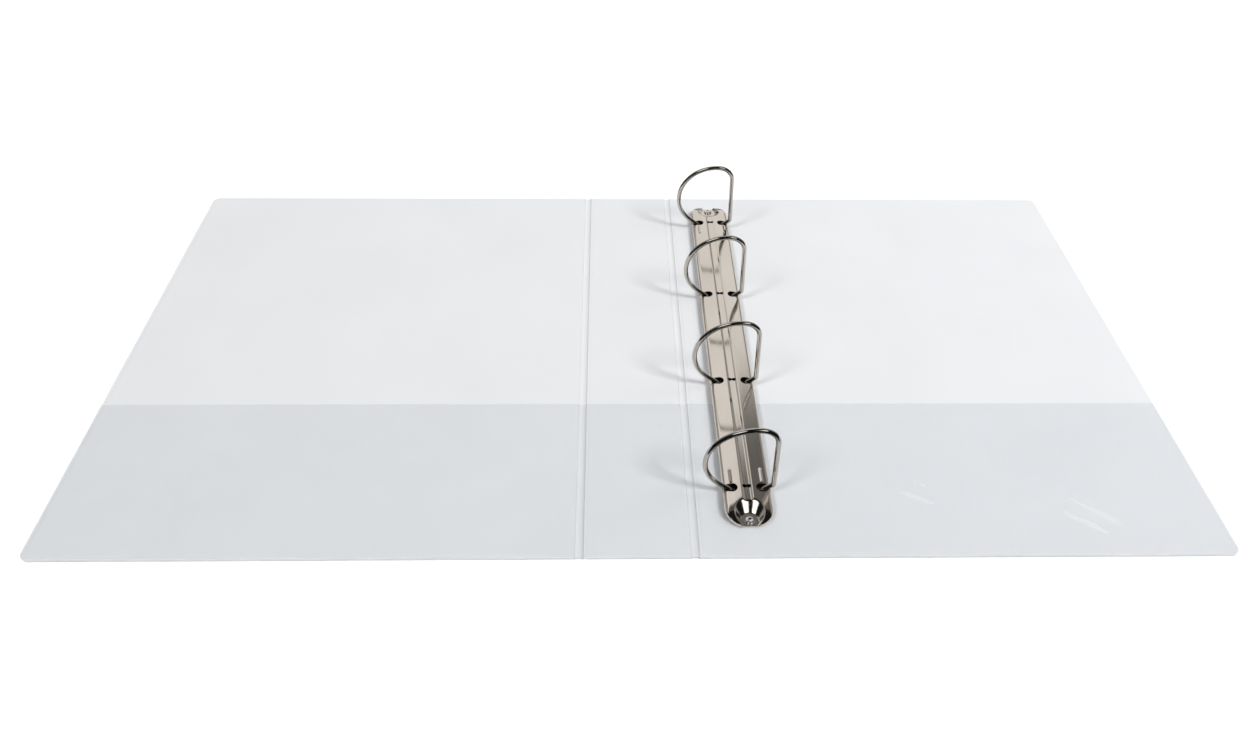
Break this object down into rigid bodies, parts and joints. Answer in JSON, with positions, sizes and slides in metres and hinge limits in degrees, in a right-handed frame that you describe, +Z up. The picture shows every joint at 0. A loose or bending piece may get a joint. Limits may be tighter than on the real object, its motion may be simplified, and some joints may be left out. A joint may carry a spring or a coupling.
{
  "type": "ring binder",
  "caption": "Presentation ring binder lying open: two clear-sleeved stiff covers hinged on a spine, with a D-ring mechanism riveted to the back cover.",
  "frame": {"origin": "on the surface the binder lies on, under the middle of the spine at half height", "axes": "+X across the open covers to the ring side, +Y to the head of the binder, +Z up"},
  "size_m": [0.618, 0.318, 0.0543],
  "materials": {
    "white_film": "satin white film, faint grain",
    "clear_film": "clear film, soft gloss",
    "board": "grey board",
    "nickel_plate": "bright nickel plate on pressed steel",
    "blade_steel": "nickel plated steel",
    "ring_wire": "bright nickel plated wire",
    "rivet_metal": "nickel plated rivet"
  },
  "bodies": {
    "back_cover": {"back_overlay": "clear_film", "back_outer_skin": "white_film", "back_board": "board", "back_inner_skin": "white_film", "back_pocket": "clear_film", "spine_hinge_web": "white_film", "cover_plate": "nickel_plate", "rivet_head": "rivet_metal", "rivet_foot": "rivet_metal", "rivet_cap_head": "rivet_metal", "rivet_cap_foot": "rivet_metal"},
    "spine": {"spine_overlay": "clear_film", "spine_outer_skin": "white_film", "spine_board": "board", "spine_inner_skin": "white_film", "spine_pocket": "clear_film", "front_hinge_web": "white_film"},
    "front_cover": {"front_overlay": "clear_film", "front_outer_skin": "white_film", "front_board": "board", "front_inner_skin": "white_film", "front_pocket": "clear_film"},
    "left_blade": {"left_blade": "blade_steel", "ring_1_left": "ring_wire", "ring_2_left": "ring_wire", "ring_3_left": "ring_wire", "ring_4_left": "ring_wire"},
    "right_blade": {"right_blade": "blade_steel", "ring_1_right": "ring_wire", "ring_2_right": "ring_wire", "ring_3_right": "ring_wire", "ring_4_right": "ring_wire"}
  },
  "joints": [
    {"name": "spine_fold", "type": "hinge", "parent": "back_cover", "child": "spine", "pos_m": [0.0295, 0, 0.00195], "axis": [0, 1, 0], "range_deg": [0, 90], "deforming": ["spine_hinge_web"]},
    {"name": "front_fold", "type": "hinge", "parent": "spine", "child": "front_cover", "pos_m": [-0.0295, 0, 0.00195], "axis": [0, 1, 0], "range_deg": [0, 90], "deforming": ["front_hinge_web"]},
    {"name": "left_ring_swing", "type": "hinge", "parent": "back_cover", "child": "left_blade", "pos_m": [0.04785, 0, 0.0049], "axis": [0, -1, 0], "range_deg": [0, 6.6]},
    {"name": "right_ring_swing", "type": "hinge", "parent": "back_cover", "child": "right_blade", "pos_m": [0.07045, 0, 0.0049], "axis": [0, 1, 0], "range_deg": [0, 6.6]}
  ],
  "couplings": [
    {"joint": "right_ring_swing", "follows": "left_ring_swing", "ratio": 1}
  ]
}
